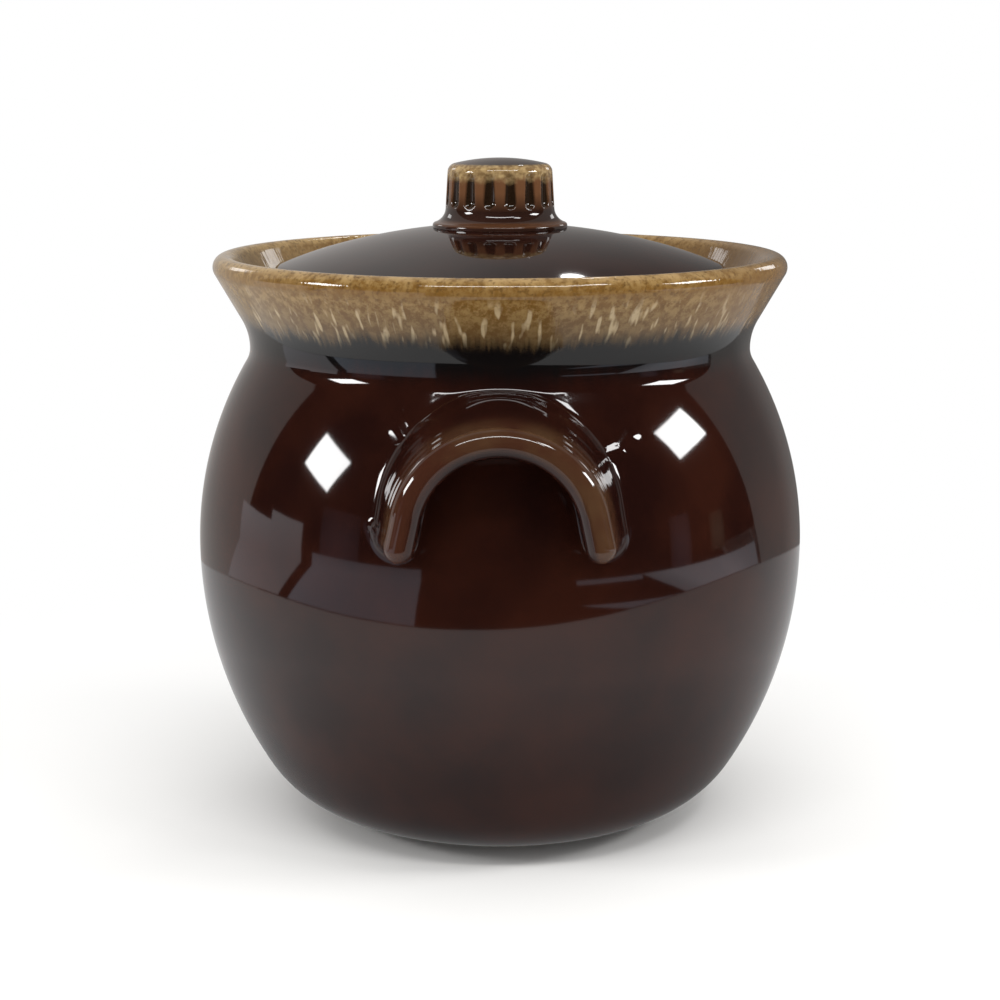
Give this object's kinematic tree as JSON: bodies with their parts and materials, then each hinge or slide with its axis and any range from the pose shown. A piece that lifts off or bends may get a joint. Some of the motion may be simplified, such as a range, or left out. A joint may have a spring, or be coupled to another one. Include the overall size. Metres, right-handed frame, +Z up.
{
  "type": "stoneware bean pot",
  "caption": "Round-bellied glazed stoneware pot for slow baking, with a flared rim, horseshoe lugs and a loose domed lid that lifts off by a fluted knob.",
  "frame": {"origin": "centre of the foot ring, on the surface that the pot stands on", "axes": "+Z up through the knob; the lugs point along -Y (front) and +Y (rear); +X to the right as seen from the front lug"},
  "size_m": [0.178, 0.202, 0.1938],
  "materials": {
    "brown_glaze": "mirror-glossy dark brown glaze, honey coloured where it runs off the rim",
    "amber_glaze": "glossy brown glaze that breaks to amber on the ridges"
  },
  "bodies": {
    "pot": {"pot_body": "brown_glaze", "handle_front": "brown_glaze", "handle_rear": "brown_glaze"},
    "lid": {"lid_dome": "brown_glaze", "lid_knob": "amber_glaze"}
  },
  "joints": [
    {"name": "lid_lift", "type": "slide", "parent": "pot", "child": "lid", "axis": [0, 0, 1], "range_m": [0, 0.06]}
  ]
}
